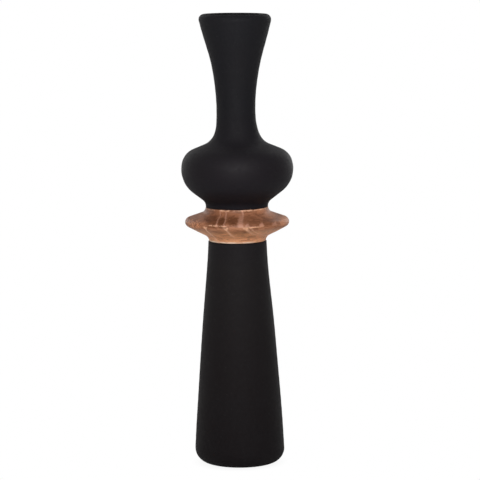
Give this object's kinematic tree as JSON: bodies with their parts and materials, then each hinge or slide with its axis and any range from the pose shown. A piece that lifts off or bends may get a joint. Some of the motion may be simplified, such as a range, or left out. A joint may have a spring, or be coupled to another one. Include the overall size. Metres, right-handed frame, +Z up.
{
  "type": "bud vase",
  "caption": "Tall black ceramic bud vase: a bulb with a flared neck over a turned wooden ring and a tapered hollow pedestal.",
  "frame": {"origin": "centre of the bottom, on the surface the vase stands on", "axes": "+Z up along the vase's axis of turning; +X to the right and -Y towards the viewer, with no feature to tell them apart"},
  "size_m": [0.0754, 0.0754, 0.305],
  "materials": {
    "black_ceramic": "matte",
    "lacquered_wood": "satin",
    "set_glue": "satin",
    "felt": "matte"
  },
  "bodies": {
    "root": {"upper_vessel": "black_ceramic", "wood_ring": "lacquered_wood", "lower_body": "black_ceramic", "spigot_bond": "set_glue", "lower_bond": "set_glue", "upper_bond": "set_glue", "base_pad": "felt"}
  },
  "joints": []
}
